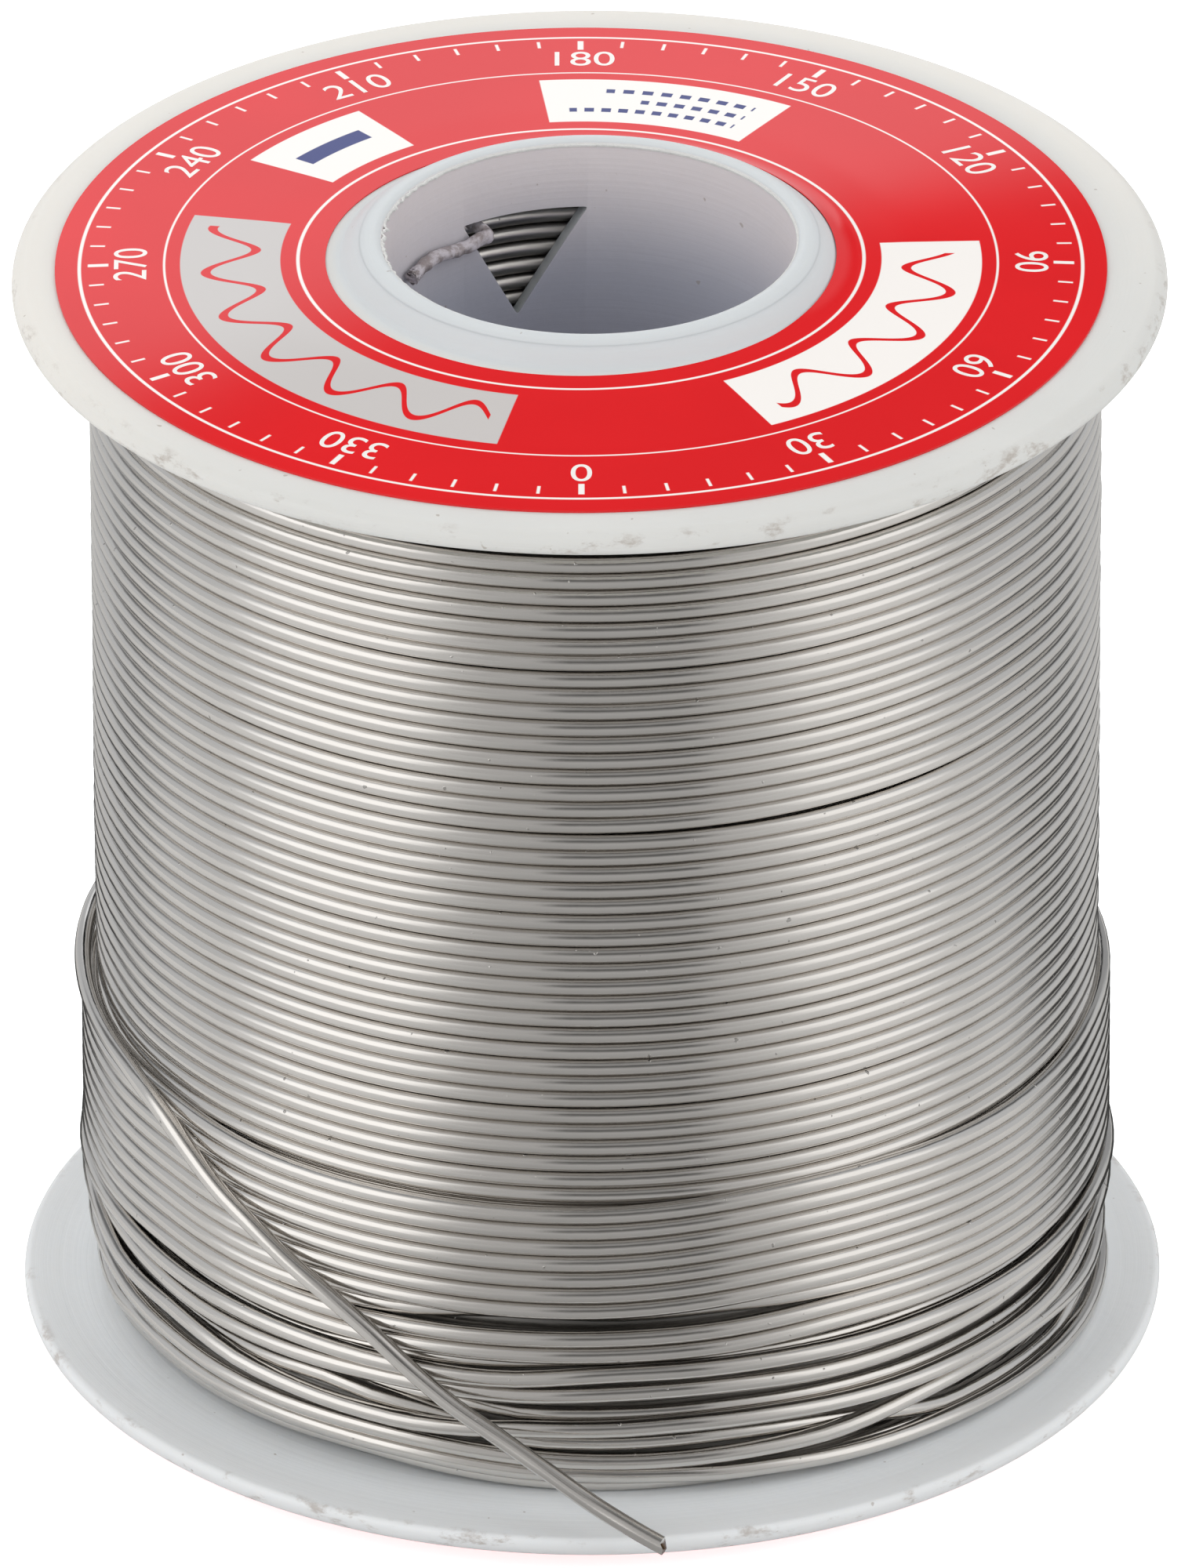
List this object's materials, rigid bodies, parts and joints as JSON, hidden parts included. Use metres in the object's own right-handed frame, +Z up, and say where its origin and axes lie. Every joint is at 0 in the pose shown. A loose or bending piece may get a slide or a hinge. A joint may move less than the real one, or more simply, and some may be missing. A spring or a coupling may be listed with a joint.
{
  "type": "solder wire spool",
  "caption": "Flanged spool of fine solder wire: moulded barrel and flanges, round labels, even windings with a part-finished last layer, and a loose outer end.",
  "frame": {"origin": "on the axis of the spool, on the surface that its lower collar stands on", "axes": "+Z up along the spool's axis; the loose end of the wire comes round the -X side and ends at the front, -Y"},
  "size_m": [0.0508, 0.0531, 0.054],
  "materials": {
    "moulding": "slightly translucent off-white moulded plastic with a soft sheen and scuffed rims",
    "label": "printed self-adhesive label in red, off-white and grey with a satin coat",
    "solder": "bright drawn tin-lead wire with fine lengthwise lines and a few dull specks",
    "flux": "dull amber rosin"
  },
  "bodies": {
    "root": {"barrel": "moulding", "upper_flange": "moulding", "lower_flange": "moulding", "upper_label": "label", "lower_label": "label", "buried_turns": "solder", "full_layer": "solder", "last_layer": "solder", "free_end": "solder", "flux_core": "flux", "start_tail": "solder"}
  },
  "joints": []
}
